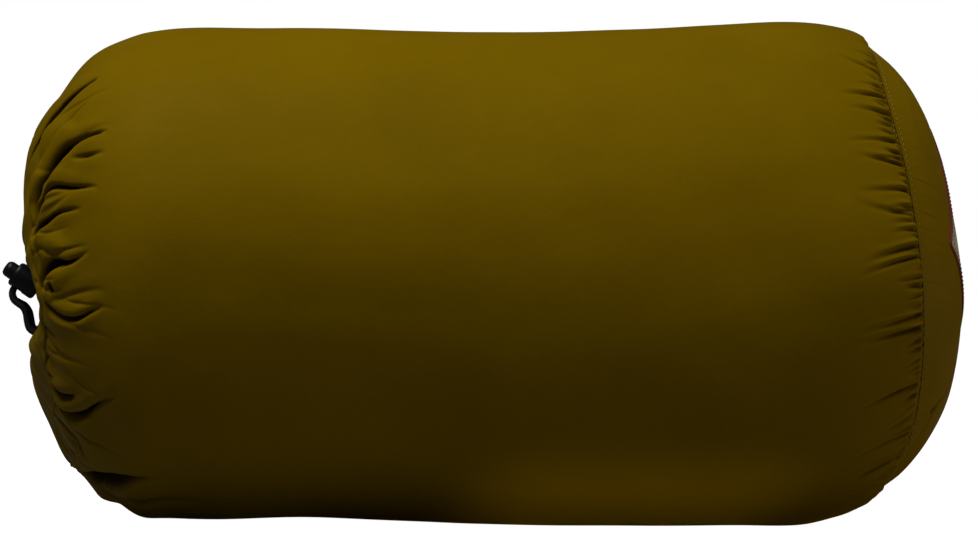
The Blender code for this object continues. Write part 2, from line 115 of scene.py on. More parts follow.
# Creases of the gathered end: how many half widths the upper lip hangs over the crease, and a list
# of (distance from the hem, angle, depth, half width)
CREASES = [
    (1.0, [(0.042, 60, 0, 0.0012), (0.05, 59, 0.008, 0.002), (0.058, 60, 0.013, 0.0027),
           (0.07, 60.5, 0.014, 0.0029), (0.084, 59, 0.009, 0.0021), (0.1, 58, 0, 0.001)]),
    (0.7, [(0.047, 11, 0, 0.0009), (0.05, 22, 0.0035, 0.001), (0.054, 32, 0.005, 0.0012),
           (0.062, 37, 0.0085, 0.002), (0.069, 39, 0.016, 0.0034), (0.078, 40, 0.014, 0.003),
           (0.087, 39, 0.0055, 0.0015), (0.096, 38, 0.003, 0.0012), (0.105, 37, 0, 0.001)]),
    (0.7, [(0.048, 22, 0, 0.001), (0.053, 26, 0.01, 0.0024), (0.059, 28, 0.014, 0.003),
           (0.065, 30, 0.01, 0.0022), (0.072, 30, 0.005, 0.0014), (0.086, 25, 0.0025, 0.0011),
           (0.1, 22, 0, 0.001)]),
    (1.0, [(0.053, 18, 0, 0.0009), (0.06, 20, 0.0045, 0.0011), (0.068, 21, 0.004, 0.0011),
           (0.075, 21, 0.0025, 0.001), (0.09, 18, 0, 0.0011)]),
    (0.5, [(0.084, 34, 0, 0.0011), (0.093, 32, 0.0018, 0.0012), (0.104, 31, 0, 0.0012)]),
    (0.8, [(0.054, 0, 0, 0.001), (0.06, 5, 0.0085, 0.0018), (0.066, 7, 0.011, 0.0022),
           (0.072, 7, 0.01, 0.002), (0.079, 6, 0.0045, 0.0014), (0.087, 6, 0.0012, 0.0011),
           (0.094, 7, 0, 0.001)]),
    (0.8, [(0.048, 12, 0, 0.0009), (0.051, 8, 0.0035, 0.0011), (0.054, 2, 0.004, 0.0011),
           (0.056, -2, 0, 0.001)]),
    (0.2, [(0.055, -3, 0, 0.0008), (0.061, -6, 0.0028, 0.0008), (0.068, -8, 0.0036, 0.0009),
           (0.077, -9.5, 0.0042, 0.0009), (0.085, -9.5, 0.0038, 0.0009),
           (0.092, -8, 0.0026, 0.0009), (0.1, -6.5, 0, 0.001)]),
    (0.8, [(0.051, -33, 0, 0.001), (0.0522, -27, 0.0045, 0.0013), (0.0535, -19, 0.0045, 0.0013),
           (0.055, -10, 0, 0.001)]),
    (0.5, [(0.046, -31, 0, 0.0009), (0.053, -37, 0.005, 0.0011), (0.061, -38, 0.0065, 0.0012),
           (0.069, -36, 0.007, 0.0013), (0.08, -33, 0, 0.001)]),
    (0.6, [(0.058, -43, 0, 0.0009), (0.066, -42, 0.0035, 0.001), (0.075, -41, 0.0075, 0.0013),
           (0.084, -38, 0.007, 0.0013), (0.093, -33, 0.003, 0.0011), (0.107, -27, 0, 0.0012)]),
    (0.8, [(0.05, -55, 0, 0.001), (0.056, -57, 0.0022, 0.0011), (0.066, -52, 0.0026, 0.0012),
           (0.075, -51, 0.0022, 0.0012), (0.088, -54, 0, 0.0011)]),
    (0.8, [(0.05, -72, 0, 0.001), (0.058, -76, 0.0028, 0.0012), (0.07, -70, 0.0028, 0.0012),
           (0.082, -64, 0, 0.0011)]),
    (0.0, [(0.072, -88, 0.005, 0.002), (0.08, -78, 0.015, 0.0032), (0.089, -69, 0.02, 0.0042),
           (0.097, -63, 0.018, 0.0036), (0.106, -57, 0.012, 0.0026), (0.114, -53, 0.005, 0.0016),
           (0.126, -51, 0, 0.0012)]),
    (0.0, [(0.088, -76, 0, 0.002), (0.098, -72, 0.003, 0.0026), (0.112, -67, 0.0035, 0.003),
           (0.128, -63, 0.003, 0.0032), (0.15, -62, 0, 0.003)]),
]

# Round hollows: the small hole between two folds, the dimple where the cord pulls the end in, a
# swelling low on the end and the hollow below it, (distance from the hem, angle, depth, half size)
HOLLOWS = [
    (0.0668, -0.5, 0.0055, 0.0017),
    (0.03, -8, 0.0095, 0.0135),
    (0.053, -97, -0.004, 0.024),
    (0.089, -97, 0.0075, 0.014),
]

# Painted shade: what the cloth's colour is multiplied by where shade is painted fullest, deep in creases,
# pits and pucker valleys
CREASE_SHADE = (0.08, 0.045, 0.04)

# Pitch of the weave, radius that the UVs are laid out at, and the cloth's dark and light colours
WEAVE_PITCH = 0.00036
UV_RADIUS = 0.1145
MUSTARD = ((0.114, 0.068, 0.0002), (0.16, 0.096, 0.0003))
MUSTARD_DOUBLED = ((0.114, 0.068, 0.0002), (0.142, 0.085, 0.0003))

# How far the end stands back, and how its lower half leans back, most of all near the mouth
END_BACK = 0.0042
END_LEAN = 0.1

# The doubled cord from the hem, through the lock, to its tail in the mouth: (x, z) of the middle
# of the pair
CORD_D = 0.003
CORD_STEP = 0.00045
CORD_PAIR_HALF = 0.0017
CORD_PAIR_ROUTE = [
    (-0.2028, 0.1203), (-0.2056, 0.1213), (-0.2084, 0.1221), (-0.2112, 0.1217),
    (-0.2135, 0.1196), (-0.2168, 0.1148), (-0.2201, 0.11), (-0.2209, 0.1074),
    (-0.2201, 0.1048), (-0.2181, 0.1032), (-0.2157, 0.1016), (-0.2141, 0.0988),
    (-0.2134, 0.095), (-0.2126, 0.092), (-0.2103, 0.0902), (-0.2076, 0.0902),
    (-0.2054, 0.092), (-0.2046, 0.095), (-0.2042, 0.0984), (-0.2022, 0.1018),
    (-0.199, 0.1052), (-0.195, 0.1092), (-0.1905, 0.1137), (-0.186, 0.1181),
    (-0.182, 0.1214),
]
EXIT_X, EXIT_Z = -0.2025, 0.1202

# The pair twists a little below the lock: by how much, and at which point of the route
CORD_TWIST = math.radians(32)
CORD_TWIST_AT = 12

CHANNEL_CORD_X = -0.1985
CHANNEL_CORD_R = 0.012
COIL_X = -0.172
COIL_R = 0.017
COIL_TURNS = 3
SLIDE_AXIS = (-math.sqrt(0.5), 0.0, -math.sqrt(0.5))

# Base label and side seam
LABEL_SIZE = (0.08, 0.056)
LABEL_Y = -0.0421
LABEL_Z = AXIS_Z + 0.023
LABEL_TURN = math.radians(42)
SIDE_SEAM_PHI = math.radians(-145)
SIDE_SEAM_HALF = 0.005

# The camera
CAMERA_DISTANCE = 1.15
CAMERA_YAW = 6.5
CAMERA_PITCH = 1.0
CAMERA_TARGET = (-0.0037, 0.0, 0.1154)
CAMERA_LENS = 91.5
SENSOR = 36.0


# Helpers


def smoothstep(t):
    t = np.clip(t, 0.0, 1.0)
    return t * t * (3 - 2 * t)


def axis_height(x):
    """Height of the sack's axis, which drops a little towards the mouth."""
    return AXIS_Z - MOUTH_DROP * smoothstep((MOUTH_DROP_FROM_X - x) / (MOUTH_DROP_FROM_X - MOUTH_X))


def catmull(points, per_span):
    """A smooth curve through the points, per_span steps for each."""
    pts = np.array(points, float)
    ends = np.vstack([2 * pts[0] - pts[1], pts, 2 * pts[-1] - pts[-2]])
    out = []
    for i in range(len(pts) - 1):
        p0, p1, p2, p3 = ends[i], ends[i + 1], ends[i + 2], ends[i + 3]
        for k in range(per_span):
            u = k / per_span
            out.append(0.5 * (2 * p1 + (p2 - p0) * u + (2 * p0 - 5 * p1 + 4 * p2 - p3) * u * u
                              + (3 * (p1 - p2) + p3 - p0) * u ** 3))
    out.append(pts[-1])
    return np.array(out)


def lengths_along(path):
    steps = np.linalg.norm(np.diff(path, axis=0), axis=1)
    return np.concatenate([[0.0], np.cumsum(steps)])


def at_lengths(path, wanted):
    """Points of the path at these distances along it."""
    along = lengths_along(path)
    return np.stack([np.interp(wanted, along, path[:, k]) for k in range(path.shape[1])], axis=1)


def even(path, step):
    total = lengths_along(path)[-1]
    count = max(2, int(round(total / step)))
    return at_lengths(path, np.linspace(0, total, count + 1))


def noise_field(points, size, seed):
    """Smooth noise from -1 to 1 at each point, with features of the given size."""
    shift = Vector((seed * 3.1, seed * 1.7, seed * 2.3))
    flat = points.reshape(-1, 3) / size
    values = [noise.noise(Vector(p) + shift) for p in flat.tolist()]
    return np.array(values).reshape(points.shape[:-1])


def angles_round(columns):
    """Angles of the columns of a grid that goes once round the sack."""
    return np.arange(columns) * math.tau / columns - math.pi


def off_outline(outline, out):
    """The x and radius of a grid whose rows lie out from the points of an outline."""
    run = np.gradient(outline, axis=0)
    run /= np.linalg.norm(run, axis=1, keepdims=True)
    return outline[:, :1] - run[:, 1:] * out, outline[:, 1:] + run[:, :1] * out


def add_mesh(name, verts, faces, mat, body="sack"):
    mesh = bpy.data.meshes.new(name)
    mesh.from_pydata(np.asarray(verts).reshape(-1, 3).tolist(), [], faces)
    mesh.validate()
    mesh.polygons.foreach_set("use_smooth", [True] * len(mesh.polygons))
    mesh.materials.append(mat)
    obj = bpy.data.objects.new(name, mesh)
    bpy.context.scene.collection.objects.link(obj)
    if body:
        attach(obj, body)
    return obj


def grid_faces(rows, columns, wrap=True, flip=False):
    """Quads of a grid, closed round its columns if wrap, and facing the other way if flip."""
    row = columns * np.arange(rows - 1)[:, None]
    j = np.arange(columns if wrap else columns - 1)[None, :]
    k = (j + 1) % columns
    quads = np.stack([row + j, row + k, row + columns + k, row + columns + j], axis=-1)
    quads = quads.reshape(-1, 4)
    return (quads[:, ::-1] if flip else quads).tolist()


def end_faces(rows, columns, flip=False):
    """The two faces that close the ends of a grid that goes round its columns."""
    last = (rows - 1) * columns
    first_end = list(range(columns))[::-1]
    last_end = list(range(last, last + columns))
    return [first_end[::-1], last_end[::-1]] if flip else [first_end, last_end]


def set_uv(obj, angles, rows):
    """UVs in metres of cloth: u round the sack, v along it."""
    columns = len(angles)
    loops = np.empty(len(obj.data.loops), int)
    obj.data.loops.foreach_get("vertex_index", loops)
    column = loops % columns
    corner = np.arange(len(loops)) % 4
    wrapped = (column == 0) & ((corner == 1) | (corner == 2))
    u = UV_RADIUS * (angles[column] + math.tau * wrapped)
    layer = obj.data.uv_layers.new(name="cloth")
    layer.data.foreach_set("uv", np.stack([u, rows[loops // columns]], axis=1).ravel())


# Stores the painted shade that darkens the cloth's colour in creases, pits and puckers
def set_painted_shade(obj, depths):
    layer = obj.data.attributes.new("painted_crease_shade", "FLOAT", "POINT")
    layer.data.foreach_set("value", depths)


# Materials


def node_material(name):
    mat = bpy.data.materials.new(name)
    mat.use_nodes = True
    tree = mat.node_tree
    return mat, tree, tree.nodes["Principled BSDF"]


def set_inputs(node, values):
    for key, value in values.items():
        node.inputs[key].default_value = value


def add_node(tree, kind, **values):
    node = tree.nodes.new(kind)
    for key, value in values.items():
        if key in node.inputs:
            node.inputs[key].default_value = value
        else:
            setattr(node, key, value)
    return node


def mix_colour(tree, factor, low, high):
    node = tree.nodes.new("ShaderNodeMix")
    node.data_type = "RGBA"
    node.inputs[6].default_value = (*low, 1)
    node.inputs[7].default_value = (*high, 1)
    tree.links.new(factor, node.inputs[0])
    return node.outputs[2]


def add_noise(tree, scale, detail, roughness=0.5):
    """Noise fixed to the object."""
    coords = tree.nodes.new("ShaderNodeTexCoord")
    node = add_node(tree, "ShaderNodeTexNoise", Scale=scale, Detail=detail, Roughness=roughness)
    tree.links.new(coords.outputs["Object"], node.inputs["Vector"])
    return node.outputs["Fac"]


def add_bump(tree, height, strength, distance):
    bump = add_node(tree, "ShaderNodeBump", Strength=strength, Distance=distance)
    tree.links.new(height, bump.inputs["Height"])
    return bump


def cloth_material(name, dark, light):
    """Plain-woven nylon: slow colour variation, shade painted into creases, warp and weft as bump, a soft
    sheen.
    """
    mat, tree, shader = node_material(name)
    slow = add_noise(tree, 18.0, 4.0, 0.6)
    # Painted shade: the colour is multiplied towards CREASE_SHADE where the mesh's shade attribute is set
    depth = add_node(tree, "ShaderNodeAttribute", attribute_name="painted_crease_shade")
    colour = add_node(tree, "ShaderNodeMix", data_type="RGBA", blend_type="MULTIPLY")
    colour.inputs[0].default_value = 1.0
    shade = mix_colour(tree, depth.outputs["Fac"], (1, 1, 1), CREASE_SHADE)
    tree.links.new(mix_colour(tree, slow, dark, light), colour.inputs[6])
    tree.links.new(shade, colour.inputs[7])
    tree.links.new(colour.outputs[2], shader.inputs["Base Color"])

    rough = add_node(tree, "ShaderNodeMapRange")
    set_inputs(rough, {"To Min": 0.47, "To Max": 0.58})
    tree.links.new(slow, rough.inputs["Value"])
    tree.links.new(rough.outputs["Result"], shader.inputs["Roughness"])

    coords = tree.nodes.new("ShaderNodeTexCoord")
    weave = add_node(tree, "ShaderNodeMath", operation="ADD")
    for n, direction in enumerate(("X", "Y")):
        threads = add_node(tree, "ShaderNodeTexWave", Scale=1.0 / WEAVE_PITCH / math.tau,
                           Distortion=0.6, Detail=1.0, bands_direction=direction)
        tree.links.new(coords.outputs["UV"], threads.inputs["Vector"])
        tree.links.new(threads.outputs["Fac"], weave.inputs[n])
    woven = add_bump(tree, weave.outputs[0], 0.12, 0.00006)
    crinkled = add_bump(tree, add_noise(tree, 160.0, 5.0, 0.55), 0.35, 0.0006)
    tree.links.new(woven.outputs["Normal"], crinkled.inputs["Normal"])
    tree.links.new(crinkled.outputs["Normal"], shader.inputs["Normal"])

    set_inputs(shader, {"Specular IOR Level": 0.02, "Specular Tint": (1.0, 0.75, 0.08, 1),
                        "Sheen Weight": 0.06, "Sheen Roughness": 0.45,
                        "Sheen Tint": (0.8, 0.55, 0.01, 1)})
    return mat


def plastic_material(name, dark, light):
    """Moulded plastic with a fine texture."""
    mat, tree, shader = node_material(name)
    grain = add_noise(tree, 2500.0, 3.0)
    tree.links.new(mix_colour(tree, grain, dark, light), shader.inputs["Base Color"])
    bump = add_bump(tree, grain, 0.3, 0.00005)
    tree.links.new(bump.outputs["Normal"], shader.inputs["Normal"])
    set_inputs(shader, {"Roughness": 0.42, "Specular IOR Level": 0.16})
    return mat


def thread_material(name, dark, light):
    """Twisted sewing thread or braided cord."""
    mat, tree, shader = node_material(name)
    fibres = add_noise(tree, 1800.0, 3.0, 0.7)
    tree.links.new(mix_colour(tree, fibres, dark, light), shader.inputs["Base Color"])
    bump = add_bump(tree, fibres, 0.5, 0.0001)
    tree.links.new(bump.outputs["Normal"], shader.inputs["Normal"])
    set_inputs(shader, {"Roughness": 0.75, "Specular IOR Level": 0.25})
    return mat


def steel_material():
    mat, tree, shader = node_material("spring_steel")
    colour = mix_colour(tree, add_noise(tree, 900.0, 2.0), (0.42, 0.42, 0.44), (0.6, 0.6, 0.62))
    tree.links.new(colour, shader.inputs["Base Color"])
    set_inputs(shader, {"Metallic": 1.0, "Roughness": 0.32})
    return mat


# Pieces that lie on the cloth


class Cloth:
    """A grid of cloth points that seams, stitches and patches are placed on."""

    def __init__(self, points, rows, angles):
        self.points = points
        self.rows = rows
        self.angles = angles
        along = np.gradient(points, axis=0)
        across = np.roll(points, -1, axis=1) - np.roll(points, 1, axis=1)
        normals = np.cross(along, across)
        self.normals = normals / np.maximum(np.linalg.norm(normals, axis=2, keepdims=True), 1e-12)

    def sample(self, field, s, phi):
        columns = len(self.angles)
        row = np.interp(s, self.rows, np.arange(len(self.rows)))
        column = ((np.asarray(phi) + math.pi) % math.tau) / math.tau * columns
        i = np.clip(row.astype(int), 0, len(self.rows) - 2)
        j = column.astype(int) % columns
        k = (j + 1) % columns
        a = (row - i)[..., None]
        b = (column - np.floor(column))[..., None]
        low = field[i, j] * (1 - b) + field[i, k] * b
        high = field[i + 1, j] * (1 - b) + field[i + 1, k] * b
        return low * (1 - a) + high * a

    def place(self, s, phi, out=0.0):
        """Points at distance s and angle phi, moved out of the cloth, and the normals there."""
        s = np.asarray(s, float)
        phi = np.asarray(phi, float)
        normals = self.sample(self.normals, s, phi)
        normals /= np.linalg.norm(normals, axis=-1, keepdims=True)
        out = np.broadcast_to(out, s.shape)[..., None]
        return self.sample(self.points, s, phi) + normals * out, normals


def stitches(name, starts, ends, normals, mat, radius=0.00022):
    """Single stitches, each a small thread that rises out of the cloth and dips back in."""
    sides = 6
    rings = np.array([0.0, 0.12, 0.35, 0.65, 0.88, 1.0])
    widths = np.array([0.35, 0.85, 1.0, 1.0, 0.85, 0.35])
    lifts = np.array([-0.9, 0.2, 0.75, 0.75, 0.2, -0.9])
    one = grid_faces(len(rings), sides) + end_faces(len(rings), sides)
    verts = []
    faces = []
    for a, b, n in zip(starts, ends, normals):
        along = (b - a) / np.linalg.norm(b - a)
        side = np.cross(n, along)
        side /= np.linalg.norm(side)
        first = len(verts)
        for t, width, lift in zip(rings, widths, lifts):
            middle = a + (b - a) * t + n * radius * lift
            for k in range(sides):
                angle = math.tau * k / sides
                verts.append(middle + radius * width * (side * math.cos(angle)
                                                        + n * math.sin(angle)))
        faces += [[first + k for k in face] for face in one]
    return add_mesh(name, verts, faces, mat)


def stitch_line(name, cloth, s, phi, pitch, stitch, mat, closed=False, out=0.0001,
                radius=0.00022):
    """A row of stitches, one every pitch, on the cloth along the line (s, phi)."""
    line, _ = cloth.place(s, phi, out)
    along = lengths_along(line)
    count = int(along[-1] / pitch)
    fit = along[-1] / count if closed else pitch
    begin = np.arange(count) * fit
    finish = begin + stitch
    start_s, start_phi = np.interp(begin, along, s), np.interp(begin, along, phi)
    end_s, end_phi = np.interp(finish, along, s), np.interp(finish, along, phi)
    starts, normals = cloth.place(start_s, start_phi, out)
    ends, _ = cloth.place(end_s, end_phi, out)
    return stitches(name, starts, ends, normals, mat, radius)


# The cloth of the body


def eased(pairs, x):
    """A smooth curve through (place, value) pairs, read at x."""
    curve = catmull(pairs, 12)
    return np.interp(x, curve[:, 0], curve[:, 1])


def seam_shift(phi):
    """How far along X the base seam lies from its plane at the angle phi."""
    turns = [(angle + turn, shift) for turn in (-360, 0, 360) for angle, shift in SEAM_SHIFT]
    return eased(turns, np.degrees(phi))


def seam_sag(phi):
    """How far the lowest part of the base seam sags."""
    return SEAM_SAG * smoothstep((-np.sin(phi) - 0.35) / 0.65)


def angle_between(phi, centre):
    return (phi - centre + math.pi) % math.tau - math.pi


def all_creases(rng):
    """The creases seen from the front, others like them at the back, and many small ones."""
    creases = list(CREASES)
    for n, (overhang, points) in enumerate(CREASES):
        turn = 180 + 7 * math.sin(2.3 * n)
        mirrored = [(0.97 * s, turn - 0.95 * angle, 0.9 * depth, half)
                    for s, angle, depth, half in points]
        creases.append((overhang, mirrored))
    for n in range(110):
        angle = (n + rng.uniform(-0.4, 0.4)) * 360 / 110
        start = rng.uniform(0.04, 0.072)
        length = rng.uniform(0.016, 0.042)
        turn = rng.uniform(-5, 5)
        depth = rng.uniform(0.0004, 0.0013)
        half = rng.uniform(0.0007, 0.0014)
        creases.append((1.0, [(start, angle - turn, 0.0, half),
                              (start + 0.45 * length, angle, depth, half),
                              (start + length, angle + 0.4 * turn, 0.0, half)]))
    return creases


def crease_fields(s, phi, radius, creases):
    """Where creases move the cloth, outwards and round the sack, and the shade painted inside them.

    A crease is a narrow valley with a swelling at each side. Its upper lip hangs over it, and the
    painted shade is darkest below that lip.
    """
    out = np.zeros_like(phi)
    around = np.zeros_like(phi)
    inside = np.zeros_like(phi)
    for overhang, points in creases:
        curve = catmull(points, 8)
        along = curve[:, 0]
        rows = np.nonzero((s[:, 0] > along[0]) & (s[:, 0] < along[-1]))[0]
        if len(rows) < 2:
            continue
        distance = s[rows, 0]
        centre = np.radians(np.interp(distance, along, curve[:, 1]))
        depth = np.maximum(np.interp(distance, along, curve[:, 2]), 0.0)[:, None]
        half = np.interp(distance, along, curve[:, 3])[:, None]
        size = radius[rows]
        slant = size[:, :1] * np.gradient(centre, distance)[:, None]
        away = angle_between(phi[rows], centre[:, None]) * size / np.sqrt(1 + slant ** 2) / half
        valley = np.exp(-away ** 2)
        swell = np.exp(-((np.abs(away) - 3.6) / 2.4) ** 2)
        out[rows] += depth * (0.16 * swell - valley)
        deep = np.clip(depth / 0.004, 0.0, 1.0)
        hang = np.exp(-(away - 1.4) ** 2)
        around[rows] -= overhang * half * deep * hang
        # Painted shade: the cloth's colour is darkened in the crease, most under an overhanging lip
        shadow = np.exp(-(away - 2.3 * max(0.0, overhang - 0.7)) ** 2)
        inside[rows] = np.maximum(inside[rows], smoothstep((depth * shadow - 0.0009) / 0.0033))
    return out, around, inside


def hollow(s, phi, radius, place):
    """One of HOLLOWS, as a move along the cloth's normal."""
    distance, angle, depth, half = place
    away = np.hypot(s - distance, angle_between(phi, math.radians(angle)) * radius) / half
    return -depth * np.exp(-away ** 3)


def gathers(s, phi, count, depth, reach, seed):
    """Many small gathers that start at the hem and die out after reach."""
    rng = random.Random(seed)
    total = np.zeros_like(phi)
    for n in range(count):
        angle = (n + rng.uniform(-0.35, 0.35)) * math.tau / count
        length = reach * rng.uniform(0.5, 1.3)
        strength = depth * rng.uniform(0.4, 1.2)
        lean = rng.uniform(-2.0, 2.0)
        width = 0.26 * math.tau / count
        away = angle_between(phi, angle + lean * s)
        total -= strength * np.exp(-(away / width) ** 2) * (1 - smoothstep(s / length))
    return total


def seam_puckers(to_seam, phi, rng, count, lengths, depths, strongest):
    """Short creases that run away from the base seam, to_seam being the distance to it."""
    total = np.zeros_like(phi)
    columns = phi.shape[1]
    reach = int(0.012 / (SEAM_RING_R * math.tau / columns))
    for n in range(count):
        angle = (n + rng.uniform(-0.38, 0.38)) * math.tau / count
        low = smoothstep((math.sin(angle) - strongest[0]) / 0.25)
        high = smoothstep((strongest[1] - math.sin(angle)) / 0.25)
        level = 0.35 + 0.65 * float(low * high)
        length = rng.uniform(*lengths) * (0.6 + 0.4 * level)
        depth = rng.uniform(*depths) * level
        lean = 0.35 * math.cos(angle) * math.sin(angle) - 0.1 + rng.uniform(-0.12, 0.12)
        bend = rng.uniform(-6.0, 6.0)
        width = rng.uniform(0.0005, 0.0008)
        middle = int(round(((angle + math.pi) % math.tau) / math.tau * columns))
        index = np.arange(middle - reach, middle + reach + 1) % columns
        from_seam = to_seam[:, index]
        away = angle_between(phi[:, index], angle) * SEAM_RING_R
        away = away - lean * from_seam - bend * from_seam ** 2
        spread = width * (1 + from_seam / 0.025)
        rise = 0.1 + 0.9 * smoothstep(from_seam / 0.007)
        fall = (1 - smoothstep(from_seam / length)) ** 0.8
        valley = np.exp(-(away / spread) ** 2)
        ridge = np.exp(-((away - 1.9 * spread) / (1.2 * spread)) ** 2)
        total[:, index] += depth * rise * fall * (0.42 * ridge - valley)
    return total


def sack_points(x, r, phi):
    """Places points of the body round its axis, with the sack's lift, growth and tilted seam."""
    w = smoothstep((x - SEAM_FROM_X) / (SEAM_X - SEAM_FROM_X))
    off_hem = smoothstep((r - 0.02) / 0.045)
    radius = r + eased(GROWTH, x) * off_hem + (SEAM_RING_R - SEAM_R + 0.0022) * w
    z0 = axis_height(x) + eased(LIFT, x) * (1 - w) * off_hem + (SEAM_CENTRE_Z - AXIS_Z) * w
    end = smoothstep((-0.15 - x) / 0.04) * off_hem
    lean = END_LEAN * (1 - 0.6 * smoothstep((radius - 0.05) / 0.04))
    back = end * (END_BACK - lean * radius * np.sin(phi))
    return np.stack([x + w * seam_shift(phi) + back, -radius * np.cos(phi),
                     z0 + radius * np.sin(phi) - w * seam_sag(phi)], axis=-1)


def base_points(s, phi, out=0.0):
    """Places points of the base at a distance s from its seam: a dome that sags a little."""
    r = SEAM_RING_R - s
    t = r / SEAM_RING_R
    fullness = BASE_FULLNESS + BASE_TOP_FULLER * np.sin(phi)
    x = SEAM_X + BASE_RISE * (1 - t ** fullness) + seam_shift(phi) * t ** 2 + out
    z0 = SEAM_CENTRE_Z - BASE_SAG * (1 - t * t)
    return np.stack([x, -r * np.cos(phi), z0 + r * np.sin(phi) - seam_sag(phi) * t ** 3], axis=-1)


def rest_on_floor(points):
    """Flattens the cloth where the floor carries it, softly."""
    z = points[..., 2]
    points[..., 2] = 0.5 * (z + np.sqrt(z * z + 0.0008 ** 2))
    return points


def body_rows():
    """Distances along the body outline: close together at the mouth and at the seam."""
    curve = catmull(BODY_OUTLINE, 40)
    total = lengths_along(curve)[-1]
    rows = [0.0]
    while rows[-1] < total:
        s = rows[-1]
        from_seam = total - s
        step = 0.0006 + 0.003 * float(smoothstep((s - 0.12) / 0.09))
        step = min(step, 0.0006 + 0.003 * float(smoothstep((from_seam - 0.022) / 0.05)))
        rows.append(s + step)
    rows = np.array(rows[:-1]) * total / rows[-2]
    return curve, rows, total


def body_cloth():
    """The grid of the body's cloth, from the hem's stitch line to the base seam, and the shade painted in
    its creases.
    """
    curve, rows, total = body_rows()
    outline = at_lengths(curve, rows)
    angles = angles_round(COLUMNS)
    s, phi = np.meshgrid(rows, angles, indexing="ij")
    radius = np.repeat(outline[:, 1:2], COLUMNS, axis=1)
    plain = np.stack([np.repeat(outline[:, 0:1], COLUMNS, axis=1), -radius * np.cos(phi),
                      radius * np.sin(phi)], axis=-1)

    rng = random.Random(SEED)
    out, around, inside = crease_fields(s, phi, radius, all_creases(rng))
    for place in HOLLOWS:
        out += hollow(s, phi, radius, place)
    # Painted shade in the small hole between two folds
    hole = smoothstep(-hollow(s, phi, radius, HOLLOWS[0]) / 0.002)
    quiet = 1 - 0.8 * np.exp(-(angle_between(phi, math.radians(40)) / math.radians(38)) ** 2)
    folds = gathers(s, phi, 17, 0.0042, 0.052, SEED + 4) * quiet
    folds += gathers(s, phi, 34, 0.0012, 0.05, SEED + 2)
    out += folds * smoothstep(s / 0.006)
    to_seam = total - s
    puckers = seam_puckers(to_seam, phi, rng, 300, (0.006, 0.018), (0.001, 0.0021), (-0.95, 0.95))
    puckers += seam_puckers(to_seam, phi, rng, 90, (0.014, 0.036), (0.001, 0.0022), (-0.95, 0.95))
    out += np.maximum(puckers, -0.003)

    free = smoothstep(to_seam / 0.006) * smoothstep(s / 0.02)
    middle = smoothstep((s - 0.06) / 0.08)
    out += noise_field(plain * np.array([0.6, 1.0, 1.0]), 0.055, 1) * 0.0017 * free * middle
    out += noise_field(plain * np.array([0.5, 1.0, 1.0]), 0.02, 2) * 0.00035 * free
    rays = np.stack([s * 0.2, np.cos(phi) * 0.06, np.sin(phi) * 0.06], axis=-1)
    near_mouth = smoothstep(s / 0.01) * (1 - smoothstep((s - 0.05) / 0.075))
    out += noise_field(rays, 0.0075, 3) * 0.001 * near_mouth
    out -= 0.0006 * np.exp(-((to_seam - 0.0016) / 0.0008) ** 2)

    x, r = off_outline(outline, out)
    points = rest_on_floor(sack_points(x, r, phi + around / np.maximum(radius, 0.02)))
    # Painted shade, put into the cloth's colour: deep in creases, in the small hole and in the puckers'
    # valleys
    shade = np.maximum(np.maximum(inside, hole), 0.6 * smoothstep(-puckers / 0.0014))
    return Cloth(points, rows, angles), shade


def make_body(cloth, depths, mat):
    faces = grid_faces(len(cloth.rows), COLUMNS, flip=True)
    obj = add_mesh("sack_body_cloth", cloth.points, faces, mat)
    # The cloth's colour is darkened by this painted shade
    set_painted_shade(obj, depths.ravel())
    set_uv(obj, cloth.angles, cloth.rows)
    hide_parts("body_panel", "body_mouth_end")


def make_hem(mat):
    """The gathered hem that holds the cord: over its crest and down into the mouth."""
    curve = catmull(HEM_OUTLINE, 20)
    total = lengths_along(curve)[-1]
    rows = np.linspace(0, total, 40)
    outline = at_lengths(curve, rows)
    angles = angles_round(COLUMNS)
    s, phi = np.meshgrid(rows, angles, indexing="ij")
    out = gathers(s * 0.0, phi, 30, 0.0009, 1.0, SEED + 3) * smoothstep(s / 0.0025)
    x, r = off_outline(outline, out)
    obj = add_mesh("mouth_hem", sack_points(x, r, phi), grid_faces(len(rows), COLUMNS), mat)
    set_uv(obj, angles, rows)
    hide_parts("drawcord_channel")


def base_cloth():
    """The grid of the base's cloth, from its seam to its middle, and the shade painted at its pinch."""
    rim = SEAM_RING_R
    rows = np.concatenate([np.linspace(0, 0.03, 44)[:-1], np.linspace(0.03, rim - 0.0004, 46)])
    angles = angles_round(COLUMNS)
    s, phi = np.meshgrid(rows, angles, indexing="ij")
    plain = base_points(s, phi)
    rng = random.Random(SEED + 1)
    out = seam_puckers(s, phi, rng, 120, (0.006, 0.018), (0.0001, 0.0006), (-0.3, 0.7))
    inside = smoothstep(s / 0.008) * smoothstep((rim - s) / 0.02)
    out += noise_field(plain, 0.05, 5) * 0.0016 * inside
    out += noise_field(plain, 0.018, 6) * 0.0004 * inside
    out += 0.0016 * smoothstep(s / 0.008) * (1 - smoothstep((s - 0.01) / 0.03))
    pinch = base_pinch(plain)
    # Painted shade in the pinch and the creases that run from it
    shade = smoothstep((-pinch - 0.0006) / 0.002)
    return Cloth(base_points(s, phi, out + pinch), rows, angles), shade


def base_pinch(points):
    """A pinch low on the base where the cloth is caught, and the crease that runs from it."""
    pinch = base_points(np.array(0.0085), np.array(math.radians(-36.0)))
    upper = base_points(np.array(0.03), np.array(math.radians(-24.0)))
    lower = base_points(np.array(0.0015), np.array(math.radians(-46.0)))
    total = np.zeros(points.shape[:-1])
    for a, b, depth, width in ((pinch, upper, 0.0026, 0.0013), (pinch, lower, 0.0016, 0.0012)):
        run = b - a
        along = ((points - a) @ run) / (run @ run)
        nearest = a + np.clip(along, 0, 1)[..., None] * run
        away = np.linalg.norm(points - nearest, axis=-1)
        total -= depth * np.exp(-(away / width) ** 2) * (1 - 0.7 * np.clip(along, 0, 1))
    away = np.linalg.norm(points - pinch, axis=-1)
    return total - 0.004 * np.exp(-(away / 0.0014) ** 2)


